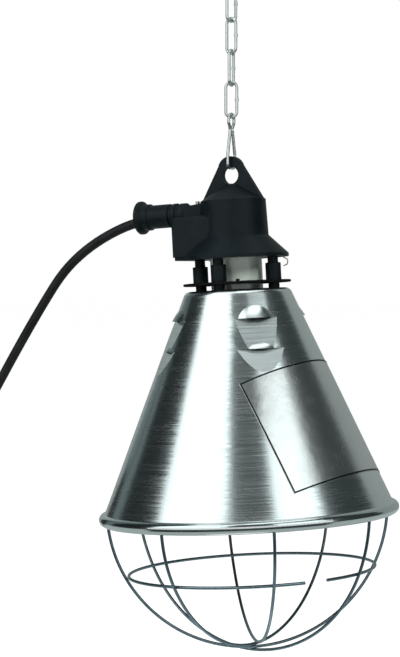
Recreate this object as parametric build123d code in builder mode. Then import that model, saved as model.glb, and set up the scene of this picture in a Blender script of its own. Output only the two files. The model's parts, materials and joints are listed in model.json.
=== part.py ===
"""Hanging infrared heat lamp: reflector, wire cage, moulded housing, lamp holder, bulb, cord and chain.

Sizes are in millimetres. The frame's origin is the point where the chain's S-hook rests on its support,
with +Z up and -X towards the cord. The lamp is drawn upright in its own frame, whose origin is the centre
of the cone's lower end, and is then hung from the shackle at the small angle that the cord's pull gives it.
"""

import os
from math import atan2, cos, hypot, pi, radians, sin, sqrt, tan

from build123d import *

os.makedirs("parts", exist_ok=True)

# Chain, S-hook and shackle
link_wire = 2.1
link_width = 9.8  # over the two strands
link_reach = 24.6  # between the wire centres of the two bows
link_turns = (63.0, -9.0, 93.0, 27.0)  # each link's turn about the vertical, top to bottom
weld_swell, weld_length = 0.3, 2.0
hook_wire = 2.8
hook_reach = 34.0
hook_half = 5.5
hook_tip = 3.5  # straight wire past each bow
hook_turn = 135.0
shackle_wire = 2.2
shackle_reach = 38.0
shackle_eye_half = 4.2
shackle_waist = 10.6  # below the shackle's top
shackle_corner = 3.1
shackle_bend = 9.0  # height at which the loop's sides draw in
seat = 0.05  # gap where one wire rests in another
tilt = 3.28  # the hanging lamp's lean, its cord side low

# Reflector: heights are over the cone's lower end
sheet = 1.0
rim_radius = 101.8  # centre of the rolled rim
roll_radius, roll_drop = 4.2, 1.1  # the roll's centre lies a little below the cone's lower end
curl_gap = 0.8  # the rolled sheet's edge stands off the cone
cone_offset = 1.1  # cone's outer face beyond the roll's centre, at its lower end
cone_shoulder = 8.3  # cone's upper edge beyond the post circle
top_z = 156.2
top_bend = 5.0
louvre_turn = -48.8
upper_slit, lower_slit, louvre_end = 20.4, 41.4, 57.2  # below the top
louvre_depth = 2.65  # how far each flat panel is pressed in at its slit
louvre_ledge = 0.7  # how deep the upper panel still lies at the lower slit
awning_waist, awning_bow = 22.6, 39.0  # swelling above the upper slit: radius across and along the cone
awning_rise, awning_drop = 2.6, 4.5
lip_waist, lip_bow = 32.0, 14.0  # low lip above the lower slit
lip_rise, lip_drop = 0.8, 2.0

# Posts, spacer disc and base plate, stacked on the reflector's top
post_circle = 28.6
post_foot, post_body, post_neck = 3.9, 5.45, 3.7  # radii
post_foot_rise, post_body_rise, post_neck_rise = 3.8, 12.0, 4.8
disc_edge = 9.6  # disc beyond the post circle
disc_thick = 1.8
disc_bevel = 0.6
rivet_radius, rivet_rise, rivet_inset = 1.3, 1.6, 1.6
plate_thick = 2.4
plate_play = 0.2
screw_radius = 2.0
screw_head, screw_head_rise = 3.8, 2.4
screw_reach = 5.2  # screws into the housing's bosses
boss_wall, boss_rise = 2.2, 20.0
clip_wire = 0.8
clip_turn = 27.0

# Housing
wall = 2.5
skirt_edge = 8.9  # skirt beyond the post circle
skirt_rise, skirt_lip = 2.3, 0.4
drum_low_rise, drum_top_rise = 12.8, 38.4  # over the base plate
drum_low_room, drum_top_room = 5.7, 4.9  # drum beyond the lamp holder
roof_thick, roof_flat = 2.8, 4.5
eye_rise, eye_radius = 56.1, 6.3
lug_thick, lug_round, lug_round_rise = 5.0, 9.4, 4.0
box_reach, box_half, box_rise, box_room = 40.0, 21.5, 28.3, 19.5
box_bevel = 2.2
box_lip = 1.5
cord_rise = 31.0
hood_inset, hood_half, hood_rise = 5.0, 10.0, 6.3
clamp_inset, clamp_radius, clamp_rise = 7.0, 1.5, 2.4

# Lamp holder and bulb
holder_radius = 18.3
holder_drop, holder_rise = 8.7, 18.0
holder_flange, holder_flange_rise = 2.3, 4.5
holder_bevel = 0.8
shell_bore, shell_wall, shell_lip = 13.4, 0.5, 1.5
socket_rise = 2.0  # end of the holder's bore over the base plate
contact_radius, contact_stem, contact_rise = 4.0, 2.5, 0.2
terminal_spot, terminal_length, terminal_width, terminal_rise = 8.0, 8.0, 6.0, 7.0
terminal_screw_radius, terminal_screw_rise = 2.0, 2.2
wire_radius, wire_spread, wire_bend = 1.1, 1.7, 4.0
thread_play, thread_depth, thread_pitch, thread_turns = 0.3, 0.7, 3.63, 6
cap_wall = 1.5  # thread's crest over the glass neck
cap_rise = 26.5
cap_start = 3.0
contact_cone, contact_foot = 4.7, 1.35
glass_wall = 1.2
glass_profile = [  # radius, and drop below the cap
    (13.6, 7.0), (17.5, 17.0), (23.5, 31.0), (40.0, 58.0), (55.0, 83.0), (62.0, 104.0), (59.0, 118.0),
    (44.0, 128.5), (20.0, 134.6), (0.0, 136.0),
]
glass_neck_rise = 16.0
stem_profile = [(0.0, -52.0), (3.4, -52.0), (3.6, -10.0), (5.0, 6.0)]
stem_low, stem_rise = 12.0, 14.0
filament_wire, filament_bend = 1.0, 1.2
filament_points = [
    (-2.0, 0.0), (-2.0, -4.0), (-13.0, -18.0), (-9.0, -27.0), (-5.0, -20.0), (0.0, -28.0), (5.0, -20.0),
    (9.0, -27.0), (13.0, -18.0), (2.0, -4.0), (2.0, 0.0),
]

# Cage
cage_wire = 2.2
cage_end_inset = 1.4  # hoop ends, inside the rolled rim
cage_hole_play = 0.6
ring_inset, ring_z = 14.8, -42.0
ring_gap = (-40.5, -29.0)  # the ring's wire ends stand a little apart
ring_lean = 28.5  # slope of the hoops where the ring touches them
hoop_turns = (-55.0, -100.0, 35.0, -10.0)
cage_low = -91.9  # innermost hoop's lowest point; the others lie on it and on one another

# Label, drawn on the cone's unrolled surface
label_turn = -4.6
label_width, label_height = 134.0, 85.0
label_lift = 6.1  # label's upper edge over the lower louvre's foot
label_thick = 0.2
label_glue = 0.1  # adhesive between the foil and the cone

# Cable sleeve: distance out from the hood, and height over the cord's surface
sleeve_neck_reach, sleeve_neck = 4.0, 2.3
sleeve_body = 4.7
cord_play = 0.1
sleeve_profile = [
    (0.0, sleeve_neck), (0.0, 3.3), (1.6, sleeve_body), (6.2, sleeve_body), (6.2, 3.7), (8.6, 3.7),
    (8.6, 5.0), (11.9, 5.0), (11.9, 3.7), (14.3, 3.7), (14.3, 5.0), (30.8, 5.0), (30.8, 6.0), (35.0, 6.0),
    (37.5, 8.5), (40.0, 8.5), (40.0, 6.7), (35.0, 3.1), (23.0, 0.8), (11.0, cord_play),
]

# Cord, coil and plug
cord_radius = 3.5
cord_end_length = 18.0
coil_radius = 46.0
coil_gap = 0.6
coil_passes = 5  # crossings of the coil's middle line in each layer
coil_run = 59.0  # cord between the last corner and the coil
view_turn = radians(27)  # the coil's plane is square to the picture
tail_drop = 32.0
tie_play, tie_thick, tie_half, tie_corner = 0.9, 1.2, 6.0, 5.2
boot_length, boot_thin, boot_thick = 22.0, 1.1, 2.7
plug_width, plug_thick, plug_length, plug_bevel = 36.0, 19.0, 24.0, 3.0
pin_radius, pin_pitch, pin_length, pin_round = 2.4, 19.0, 19.0, 1.2

# Heights up the lamp, and what lines up with them
disc_bottom = top_z + post_foot_rise
disc_top = disc_bottom + disc_thick
post_shoulder_z = disc_top + post_body_rise
plate_bottom = post_shoulder_z + post_neck_rise
plate_top = plate_bottom + plate_thick
skirt_bottom = plate_bottom - skirt_lip
drum_low_z, drum_top_z = plate_top + drum_low_rise, plate_top + drum_top_rise
eye_z = plate_top + eye_rise
roof_z = eye_z - eye_radius + 0.2
box_top = plate_top + box_rise
cord_z = plate_top + cord_rise
hood_end = hood_inset - box_reach
hood_top = cord_z + hood_rise
holder_low, holder_top = top_z - holder_drop, plate_top + holder_rise
terminal_top = holder_top + terminal_rise
socket_top = plate_top + socket_rise
contact_z = plate_top + contact_rise
bulb_top = contact_z - seat
cap_top = bulb_top - contact_cone + seat
cap_low = cap_top - cap_rise
stem_z = cap_low + stem_profile[0][1]
skirt_radius = post_circle + skirt_edge
plate_radius = skirt_radius - wall
plate_half = box_half - box_lip
drum_low_radius, drum_top_radius = holder_radius + drum_low_room, holder_radius + drum_top_room
shell_radius = shell_bore + shell_wall
cap_radius = shell_bore - thread_play
neck = cap_radius - cap_wall
post_spots = [(post_circle, 0), (0, post_circle), (-post_circle, 0), (0, -post_circle)]
cone_base = rim_radius + cone_offset
cone_top = post_circle + cone_shoulder
cone_slope = (cone_base - cone_top) / top_z  # radius lost for each unit of height
slant = hypot(1, cone_slope)

# The hanging chain
hook_top = hook_wire / 2
hook_low = hook_top - hook_reach
hanging = []  # centre height of each link
upper = hook_low + hook_wire / 2 + link_wire / 2 + seat
for turn in link_turns:
    hanging.append(upper - link_reach / 2)
    upper -= link_reach - link_wire - seat
shackle_top = upper - link_wire / 2 + shackle_wire / 2
pivot = shackle_top - shackle_reach
pivot_z = eye_z + eye_radius - shackle_wire / 2 - seat
lamp_pose = Location((0, 0, pivot)) * Location((0, 0, 0), (0, -tilt, 0)) * Location((0, 0, -pivot_z))

upward = (Align.CENTER, Align.CENTER, Align.MIN)
downward = (Align.CENTER, Align.CENTER, Align.MAX)
outward = (Align.MIN, Align.CENTER, Align.MIN)


def save(solid, name, colour, pose=None):
    """Writes one node's solid or solids, in the place where they hang."""
    placed = pose * solid if pose else solid
    placed.label = name
    placed.color = Color(colour)
    export_step(placed, f"parts/{name}.step")
    print(f"{name:16s} volume {placed.volume:10.1f} valid {placed.is_valid}")


def tube(path, radius):
    """A round wire along a path."""
    with BuildPart() as wire:
        with BuildSketch(Plane(origin=path @ 0, z_dir=path % 0)):
            Circle(radius)
        sweep(path=path)
    return wire.part


def turned(profile):
    """A solid of revolution about the lamp's axis from (radius, height) points."""
    with BuildPart() as solid:
        with BuildSketch(Plane.XZ):
            with BuildLine():
                Polyline(*profile, close=True)
            make_face()
        revolve(axis=Axis.Z)
    return solid.part


def posts_at(z):
    """The four posts' places at a height."""
    return Locations(*[(x, y, z) for x, y in post_spots])


# The S-hook holds the chain: its upper bow rests on the support, its lower bow carries the first link
bow_side = hook_half + hook_tip
with BuildLine(Plane.XZ) as s_path:
    FilletPolyline(
        (-hook_half, hook_low + bow_side), (-hook_half, hook_low), (hook_half, hook_low),
        (hook_half, hook_low + bow_side), (-hook_half, hook_top - bow_side), (-hook_half, hook_top),
        (hook_half, hook_top), (hook_half, hook_top - bow_side),
        radius=hook_half - 0.1,
    )
save(tube(s_path.line, hook_wire / 2), "s_hook", "#a9adb0", Location((0, 0, 0), (0, 0, hook_turn)))

# Welded chain links, the weld a small swelling on one strand
strand = (link_width - link_wire) / 2
with BuildPart() as link:
    with BuildLine(Plane.XZ) as oval:
        upper_bow = CenterArc((0, link_reach / 2 - strand), strand, 0, 180)
        Line(upper_bow @ 1, (-strand, strand - link_reach / 2))
        lower_bow = CenterArc((0, strand - link_reach / 2), strand, 180, 180)
        Line(lower_bow @ 1, upper_bow @ 0)
    with BuildSketch(Plane(origin=oval.line @ 0, z_dir=oval.line % 0)):
        Circle(link_wire / 2)
    sweep(path=oval.line)
    with Locations((strand, 0, 0)):
        Cylinder(link_wire / 2 + weld_swell, weld_length)
for number, (turn, height) in enumerate(zip(link_turns, hanging), 1):
    save(link.part, f"chain_link_{number}", "#a9adb0", Location((0, 0, height), (0, 0, turn)))

# The shackle is one wire bent to a small upper eye and a long lower loop, flat where the lug hangs in it
loop_half = lug_thick / 2 + 2 * seat + shackle_corner
waist_z = shackle_reach - shackle_waist
eye_low_z = shackle_reach - 1.5 * shackle_eye_half
with BuildLine(Plane.YZ) as shackle_path:
    FilletPolyline(
        (1.5, waist_z + 0.5), (shackle_eye_half, eye_low_z), (shackle_eye_half, shackle_reach),
        (-shackle_eye_half, shackle_reach), (-shackle_eye_half, eye_low_z), (-1.6, waist_z),
        (-loop_half, shackle_bend), (-loop_half, 0), (loop_half, 0), (loop_half, shackle_bend),
        (1.7, waist_z - 0.8),
        radius=[3.0, shackle_eye_half - 0.1, shackle_eye_half - 0.1, 3.0, 5.0, 12.0, shackle_corner,
                shackle_corner, 12.0],
    )
save(tube(shackle_path.line, shackle_wire / 2), "shackle", "#9a9ea2", Location((0, 0, pivot)))

# Housing: drum, skirt and cone roof, the eye plate across the roof, and the terminal box on the cord's side
with BuildPart() as inside:
    with BuildSketch(Plane.XZ):
        with BuildLine():
            Polyline(
                (0, skirt_bottom - wall), (plate_radius + plate_play, skirt_bottom - wall),
                (plate_radius + plate_play, plate_top), (drum_low_radius - wall, drum_low_z - 0.6 * wall),
                (drum_low_radius - wall, drum_top_z - roof_thick), (0, drum_top_z - roof_thick), close=True,
            )
        make_face()
    revolve(axis=Axis.Z)
    with Locations((wall - box_reach, 0, plate_top)):
        Box(box_reach - wall - drum_low_radius / 2, 2 * (box_half - wall), box_room, align=outward)
    with posts_at(plate_top):
        Cylinder(screw_radius + boss_wall, boss_rise, align=upward, mode=Mode.SUBTRACT)
    with posts_at(plate_top):
        Cylinder(screw_radius, screw_reach + 0.8, align=upward)

with BuildPart() as box:
    with Locations((-box_reach, 0, plate_top)):
        Box(box_reach, 2 * box_half, box_top - plate_top, align=outward)
    outer = box.edges().filter_by(Axis.Z).group_by(Axis.X)[0] + box.edges().group_by(Axis.Z)[-1]
    chamfer(outer.filter_by(lambda edge: edge.center().X < -0.5), box_bevel)

hood_low, hood_root = box_top - hood_rise, 2 * wall - drum_top_radius
with BuildPart() as hood:
    with BuildSketch(Plane.XZ):
        with BuildLine():
            Polyline(
                (hood_end, hood_low), (hood_end, hood_top - 1.2), (hood_root, hood_top + 0.4),
                (hood_root, hood_low), close=True,
            )
        make_face()
    extrude(amount=hood_half, both=True)

lug_foot = drum_top_radius + 0.4
with BuildPart() as housing:
    with BuildSketch(Plane.XZ):
        with BuildLine():
            Polyline(
                (0, skirt_bottom), (skirt_radius, skirt_bottom), (skirt_radius, skirt_bottom + skirt_rise),
                (drum_low_radius, drum_low_z), (drum_top_radius, drum_top_z), (roof_flat, roof_z),
                (0, roof_z), close=True,
            )
        make_face()
    revolve(axis=Axis.Z)
    add(box.part)
    add(hood.part)
    with BuildSketch(Plane.XZ):
        with Locations((0, eye_z + lug_round_rise)):
            Circle(lug_round)
        with BuildLine():
            Polyline(
                (-lug_foot, drum_top_z - wall), (-lug_foot, drum_top_z - 0.4),
                (0.2 - lug_round, eye_z + eye_radius), (lug_round - 0.2, eye_z + eye_radius),
                (lug_foot, drum_top_z - 0.4), (lug_foot, drum_top_z - wall), close=True,
            )
        make_face()
        with Locations((0, eye_z)):
            Circle(eye_radius, mode=Mode.SUBTRACT)
    extrude(amount=lug_thick / 2, both=True)
    add(inside.part, mode=Mode.SUBTRACT)
    with Locations((-box_reach - wall, 0, skirt_bottom - wall)):
        Box(box_reach + wall, 2 * (plate_half + plate_play), plate_top - skirt_bottom + wall, align=outward,
            mode=Mode.SUBTRACT)
    with Locations(Location((-box_reach - wall, 0, cord_z), (0, 90, 0))):
        Cylinder(cord_radius + sleeve_body + 0.1, hood_inset + wall, align=upward, mode=Mode.SUBTRACT)
    with Locations(Location((hood_end, 0, cord_z), (0, 90, 0))):
        Cylinder(cord_radius + sleeve_neck, sleeve_neck_reach, align=upward, mode=Mode.SUBTRACT)
    with Locations(Location((hood_end, 0, cord_z), (0, 90, 0))):
        Cylinder(cord_radius + cord_play, cord_end_length + 1, align=upward, mode=Mode.SUBTRACT)
    with Locations((hood_end + clamp_inset, 0, cord_z)):
        Cylinder(clamp_radius, hood_rise + clamp_rise, align=upward, mode=Mode.SUBTRACT)
save(housing.part, "housing", "#1b1f21", lamp_pose)

with BuildPart() as clamp_screw:
    with Locations((hood_end + clamp_inset, 0, hood_top + clamp_rise)):
        Cylinder(clamp_radius, hood_rise + clamp_rise - cord_radius, align=downward)
        Box(3 * clamp_radius, 0.4 * clamp_radius, 0.6 * clamp_radius, align=downward, mode=Mode.SUBTRACT)
save(clamp_screw.part, "clamp_screw", "#3a3d40", lamp_pose)

# Base plate: closes the skirt and the box from below and carries the lamp holder
with BuildPart() as plate:
    with BuildSketch(Plane.XY.offset(plate_bottom)):
        Circle(plate_radius)
        with Locations((box_lip - box_reach, 0)):
            Rectangle(box_reach - box_lip, 2 * plate_half, align=(Align.MIN, Align.CENTER))
        Circle(holder_radius, mode=Mode.SUBTRACT)
        with Locations(*post_spots):
            Circle(post_neck, mode=Mode.SUBTRACT)
    extrude(amount=plate_thick)
save(plate.part, "base_plate", "#1d2022", lamp_pose)

# Four posts, their screws and the spacer disc
with BuildPart() as posts:
    with posts_at(top_z):
        Cylinder(post_foot, disc_top - top_z, align=upward)
    with posts_at(disc_top):
        Cylinder(post_body, post_body_rise, align=upward)
    with posts_at(post_shoulder_z):
        Cylinder(post_neck, plate_top - post_shoulder_z, align=upward)
    with posts_at(top_z):
        Cylinder(screw_radius, plate_top - top_z, align=upward, mode=Mode.SUBTRACT)
save(posts.part, "posts", "#17191b", lamp_pose)

with BuildPart() as post_screws:
    with posts_at(top_z - sheet):
        Cylinder(screw_head, screw_head_rise, align=downward)
        Cylinder(screw_radius, plate_top + screw_reach - top_z + sheet, align=upward)
    with posts_at(top_z - sheet - screw_head_rise):
        Box(1.4 * screw_head, screw_head / 4, screw_head_rise / 2, align=upward, mode=Mode.SUBTRACT)
        Box(screw_head / 4, 1.4 * screw_head, screw_head_rise / 2, align=upward, mode=Mode.SUBTRACT)
save(post_screws.part, "post_screws", "#b9bcbe", lamp_pose)

with BuildPart() as disc:
    with BuildSketch(Plane.XY.offset(disc_bottom)):
        Circle(post_circle + disc_edge)
        Circle(holder_radius + disc_bevel, mode=Mode.SUBTRACT)
        with Locations(*post_spots):
            Circle(post_foot, mode=Mode.SUBTRACT)
    extrude(amount=disc_thick)
    chamfer(disc.edges().group_by(SortBy.LENGTH)[-1], disc_bevel)
    rivet_reach = post_circle - rivet_inset
    with Locations((rivet_reach * sin(view_turn), -rivet_reach * cos(view_turn), disc_top)):
        Cylinder(rivet_radius, rivet_rise, align=upward)
save(disc.part, "spacer_disc", "#2a2826", lamp_pose)

# Small spring clip of thin wire, from the base plate out under the skirt's edge
clip_reach = plate_radius - 1.4
with BuildLine(Plane.XZ) as clip_path:
    FilletPolyline(
        (clip_reach, plate_bottom), (clip_reach, plate_bottom - 1), (clip_reach + 3, plate_bottom - 2.8),
        (clip_reach + 2.6, plate_bottom - 6), (clip_reach - 0.2, plate_bottom - 7.2), radius=0.9,
    )
save(tube(clip_path.line, clip_wire / 2), "spring_clip", "#b8b9b6",
     lamp_pose * Location((0, 0, 0), (0, 0, clip_turn)))


def cone_radius(z):
    """Outer radius of the reflector's cone at a height."""
    return cone_base - cone_slope * z


def inner_face(z):
    """Radius of the sheet's inner face at a height."""
    return cone_radius(z) - sheet * slant


with BuildPart() as cone:
    Cone(cone_base, cone_top, top_z, align=upward)
with BuildPart() as cone_room:
    Cone(inner_face(0), inner_face(top_z), top_z, align=upward)


def flat_block(corners):
    """A block across a louvre, from its side view."""
    with BuildPart() as block:
        with BuildSketch(Plane.XZ):
            with BuildLine():
                Polyline(*[(corner.X, corner.Z) for corner in corners], close=True)
            make_face()
        extrude(amount=cone_top, both=True)
    return block.part


def half_barrel(centre, waist, bow, sunk, floor):
    """The part over a height of a barrel that leans with the cone, from its waist and its staves' bow."""
    half_length = sqrt(sunk * (2 * bow - sunk))
    with BuildPart() as barrel:
        with BuildSketch(Plane(origin=centre, x_dir=outwards, z_dir=(0, -1, 0))):
            with BuildLine():
                stave = ThreePointArc((waist - sunk, half_length), (waist, 0), (waist - sunk, -half_length))
                Polyline(stave @ 1, (0, -half_length), (0, half_length), stave @ 0)
            make_face()
        revolve(axis=Axis(centre, downhill))
        split(bisect_by=Plane.XY.offset(floor), keep=Keep.TOP)
    return barrel.part


# Louvres: below each slit a flat panel is pressed inwards. The sheet swells out like an awning above the
# upper slit and as a low lip above the lower one. The upper panel reaches the lower slit; the lower one runs
# out into the cone
louvres = []
outwards = Vector(1, 0, cone_slope) / slant
downhill = Vector(cone_slope, 0, -1) / slant
clear = Vector(2 * cone_top, 0, 0)
air = cone_room.part
upper_swell = (awning_waist, awning_bow, awning_rise, awning_drop)
lower_swell = (lip_waist, lip_bow, lip_rise, lip_drop)
louvre_rows = [
    (upper_slit, lower_slit, louvre_ledge, 1.0, upper_swell),
    (lower_slit, louvre_end, 0.0, 1.4, lower_swell),
]
for drop, end, ledge, run_out, (waist, stave_bow, rise, waist_drop) in louvre_rows:
    slit_z, foot_z = top_z - drop, top_z - end
    slit = Vector(cone_radius(slit_z), 0, slit_z)
    brow = slit - Vector(louvre_depth, 0, 0)
    foot = brow + (Vector(cone_radius(foot_z) - ledge, 0, foot_z) - brow) * run_out
    behind = Vector(sheet * (brow - foot).length / (brow - foot).Z, 0, 0)
    with BuildPart() as panel:
        add(flat_block([foot, brow, brow - behind, foot - behind]))
        add(cone.part, mode=Mode.INTERSECT)
    centre = slit + downhill * waist_drop + outwards * (rise - waist)
    sunk = rise + louvre_depth + sheet
    awning_room = half_barrel(centre, waist - sheet, stave_bow - sheet, sunk, slit_z)
    with BuildPart() as awning:
        add(half_barrel(centre, waist, stave_bow, sunk, slit_z))
        add(awning_room, mode=Mode.SUBTRACT)
        add(air, mode=Mode.SUBTRACT)
    with BuildPart() as air_behind:
        add(cone_room.part)
        add(flat_block([foot - behind, brow - behind, brow - clear, foot - clear]), mode=Mode.INTERSECT)
    air = air_behind.part
    pressed = flat_block([foot, brow, brow + clear, foot + clear])
    louvres.append((pressed, panel.part, awning_room, awning.part))

# Each hoop bows from its lowest point to the ring, then runs up into the rim
ring_radius = rim_radius - ring_inset
rest_on = cage_wire + seat
ring_touch = (ring_radius + rest_on * cos(radians(ring_lean)), ring_z - rest_on * sin(radians(ring_lean)))
hoop_end = (rim_radius - cage_end_inset, -roll_drop)
hole_z = sheet - roll_radius - roll_drop
hoop_paths = []
for number in range(len(hoop_turns)):
    with BuildLine(Plane.XZ) as hoop:
        bow = TangentArc((0, cage_low - rest_on * number), ring_touch, tangent=(1, 0))
        leg = TangentArc(ring_touch, hoop_end, tangent=((bow % 1).X, (bow % 1).Z))
        mirror(about=Plane.YZ)
    at_hole = (hole_z - ring_touch[1]) / (hoop_end[1] - ring_touch[1])
    hoop_paths.append((hoop.wires()[0], (leg @ at_hole).X))

# Reflector: spun cone with an open rolled rim, the louvres, and the screw and hoop holes
top_hole = holder_radius + 0.7
curl_low, curl_high = roll_radius / 2 - roll_drop, 1.5 * roll_radius - roll_drop
with BuildPart() as reflector:
    with BuildSketch(Plane.XZ):
        with BuildLine():
            Polyline(
                (cone_base, 0), (cone_top, top_z), (top_hole, top_z), (top_hole, top_z - sheet),
                (inner_face(top_z - sheet), top_z - sheet), (inner_face(0), 0), close=True,
            )
        make_face()
        fillet(vertices().sort_by_distance((cone_top, top_z))[0], top_bend)
        fillet(vertices().sort_by_distance((inner_face(top_z - sheet), top_z - sheet))[0], top_bend - sheet)
        with Locations((rim_radius, -roll_drop)):
            Circle(roll_radius)
            Circle(roll_radius - sheet, mode=Mode.SUBTRACT)
        with BuildLine():
            Polyline(
                (inner_face(curl_low), curl_low), (inner_face(curl_high), curl_high),
                (inner_face(curl_high) - curl_gap, curl_high), (inner_face(curl_low) - curl_gap, curl_low),
                close=True,
            )
        make_face(mode=Mode.SUBTRACT)
    revolve(axis=Axis.Z)
    for pressed, panel_sheet, room, awning_sheet in louvres:
        with PolarLocations(0, 4, start_angle=louvre_turn):
            add(pressed, mode=Mode.SUBTRACT)
            add(panel_sheet)
            add(room, mode=Mode.SUBTRACT)
            add(awning_sheet)
    with posts_at(top_z):
        Cylinder(screw_radius + plate_play, 6 * sheet, mode=Mode.SUBTRACT)
    for turn, (path, reach) in zip(hoop_turns, hoop_paths):
        with PolarLocations(reach - 0.4, 2, start_angle=turn):
            with Locations((0, 0, hole_z)):
                Cylinder(cage_wire / 2 + cage_hole_play, 1.4 * roll_radius, mode=Mode.SUBTRACT)
save(reflector.part, "reflector", "#c5c9ca", lamp_pose)

# Foil label: a flat rectangle wrapped on the cone, left blank
apex_z = cone_base / cone_slope
lean = cone_slope / slant  # sine of the cone's half angle
upright = sqrt(1 - lean * lean)
label_top_z = top_z - louvre_end + label_lift
label_near = (apex_z - label_top_z) / upright
label_far = label_near + label_height
middle = (label_near + label_far) / 2
label_face = Plane(
    origin=(middle * lean, 0, apex_z - middle * upright), x_dir=(0, 1, 0), z_dir=(upright, 0, lean)
)


def wrapped(along, across):
    """Point of the unrolled label, wrapped on the cone and seen along the label's middle normal."""
    reach = hypot(along, across)
    turn = atan2(across, along) / lean
    on_cone = Vector(reach * lean * cos(turn), reach * lean * sin(turn), apex_z - reach * upright)
    seen = label_face.to_local_coords(on_cone)
    return seen.X, seen.Y


half = label_width / 2
outline = [wrapped(label_near, half * k / 6) for k in range(-6, 6)]
outline += [wrapped(label_near + label_height * k / 4, half) for k in range(4)]
outline += [wrapped(label_far, -half * k / 6) for k in range(-6, 6)]
outline += [wrapped(label_far - label_height * k / 4, -half) for k in range(4)]
cover_z = label_top_z + 4 * sheet  # a little over the label's upper edge
with BuildPart() as label:
    for lift, mode in ((label_glue + label_thick, Mode.ADD), (label_glue, Mode.SUBTRACT)):
        Cone(cone_base + lift * slant, cone_radius(cover_z) + lift * slant, cover_z, align=upward, mode=mode)
    with BuildSketch(label_face.offset(-middle * lean)):
        with BuildLine():
            Polyline(*outline, close=True)
        make_face()
    extrude(amount=middle, mode=Mode.INTERSECT)
save(label.part, "label", "#b4b7b8", lamp_pose * Location((0, 0, 0), (0, 0, label_turn)))

# Lamp holder: glazed porcelain body, screw shell, contact and two terminals with their wires
flange, stem = holder_radius + holder_flange, holder_radius - 0.7
holder = turned([
    (shell_radius, holder_low), (holder_radius - holder_bevel, holder_low),
    (holder_radius, holder_low + holder_bevel), (holder_radius, plate_top), (flange, plate_top),
    (flange, plate_top + holder_flange_rise),
    (stem, plate_top + holder_flange_rise), (stem, holder_top), (contact_stem, holder_top),
    (contact_stem, socket_top), (shell_radius, socket_top),
])
save(holder, "holder_body", "#d4d6cd", lamp_pose)
shell_low, shell_top = holder_low + shell_lip, socket_top - shell_wall
shell = turned([
    (shell_bore, shell_low), (shell_radius, shell_low), (shell_radius, shell_top), (shell_bore, shell_top),
])
save(shell, "screw_shell", "#c9a24a", lamp_pose)
contact = turned([
    (0, contact_z), (contact_radius, contact_z), (contact_radius, socket_top), (contact_stem, socket_top),
    (contact_stem, holder_top), (0, holder_top),
])
save(contact, "centre_contact", "#c9a24a", lamp_pose)

with BuildPart() as terminals:
    with Locations((0, terminal_spot, holder_top), (0, -terminal_spot, holder_top)):
        Box(terminal_length, terminal_width, terminal_rise, align=upward)
save(terminals.part, "terminals", "#c9a24a", lamp_pose)
with BuildPart() as terminal_screws:
    for side in (terminal_spot, -terminal_spot):
        with Locations(Location((terminal_length / 2, side, holder_top + terminal_rise / 2), (0, 90, 0))):
            Cylinder(terminal_screw_radius, terminal_screw_rise, align=upward)
        with Locations((terminal_length / 2 + terminal_screw_rise, side, holder_top + terminal_rise / 2)):
            Box(1.4 * terminal_screw_rise / 2, 2 * terminal_screw_radius, 0.3 * terminal_screw_radius,
                mode=Mode.SUBTRACT)
save(terminal_screws.part, "terminal_screws", "#b9bcbe", lamp_pose)
cord_start = hood_end + 1.5
wire_start = cord_start + cord_end_length
for name, side, colour in (("live_wire", -1, "#5b3a22"), ("neutral_wire", 1, "#2a4f8f")):
    with BuildLine() as wire_path:
        FilletPolyline(
            (wire_start, wire_spread * side, cord_z), (wire_start / 2, wire_spread * side, cord_z),
            (0, terminal_spot * side, cord_z), (0, terminal_spot * side, terminal_top),
            radius=[wire_bend, (cord_z - terminal_top) / 2],
        )
    save(tube(wire_path.line, wire_radius), name, colour, lamp_pose)

# Bulb: reflector-shaped glass, threaded cap with insulator and contact, glass stem and filament
glass_low = cap_low - glass_profile[-1][1]
glass_top = cap_low + glass_neck_rise
neck_bore = neck - glass_wall
with BuildPart() as glass:
    with BuildSketch(Plane.XZ):
        with BuildLine():
            shape = Spline((neck, cap_low), *[(radius, cap_low - drop) for radius, drop in glass_profile],
                           tangents=((0, -1), (-1, 0)))
            inner_points = []
            for step in range(13):
                tangent = shape % (step / 12)
                inner_points.append(shape @ (step / 12) + Vector(tangent.Y, -tangent.X) * glass_wall)
            inner_points[0] = Vector(neck_bore, cap_low)
            inner_points[-1] = Vector(0, glass_low + glass_wall)
            Spline(*inner_points, tangents=((0, -1), (-1, 0)))
            Line((0, glass_low), (0, glass_low + glass_wall))
            Polyline((neck, cap_low), (neck, glass_top), (neck_bore, glass_top), (neck_bore, cap_low))
        make_face()
    revolve(axis=Axis.Z)
save(glass.part, "bulb_glass", "#b33322", lamp_pose)

root = cap_radius - thread_depth
thread = [(neck, cap_top), (neck, cap_low + cap_start)]
for ridge in range(thread_turns):
    low = cap_low + cap_start + 1.5 + thread_pitch * ridge
    thread += [(root, low - 1.5), (root, low), (cap_radius, low + 0.9), (cap_radius, low + 1.4)]
thread += [(root, cap_top - 0.9), (root, cap_top)]
save(turned(thread), "bulb_cap", "#b9a677", lamp_pose)
cone_end = bulb_top - contact_foot
insulator = turned([
    (0, cap_top - 2.5), (neck, cap_top - 2.5), (neck, cap_top), (root, cap_top), (root / 2, cone_end),
    (0, cone_end),
])
save(insulator, "bulb_insulator", "#17181a", lamp_pose)
solder = turned([
    (0, cone_end), (contact_radius + 0.8, cone_end), (contact_radius + 0.4, cone_end + 0.65 * contact_foot),
    (0.75 * contact_radius, bulb_top), (0, bulb_top),
])
save(solder, "bulb_contact", "#b4b6b5", lamp_pose)
mount = [(radius, cap_low + rise) for radius, rise in stem_profile]
mount += [(neck_bore, cap_low + stem_low), (neck_bore, cap_low + stem_rise), (0, cap_low + stem_rise)]
save(turned(mount), "bulb_stem", "#d9e2e0", lamp_pose)
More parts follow.
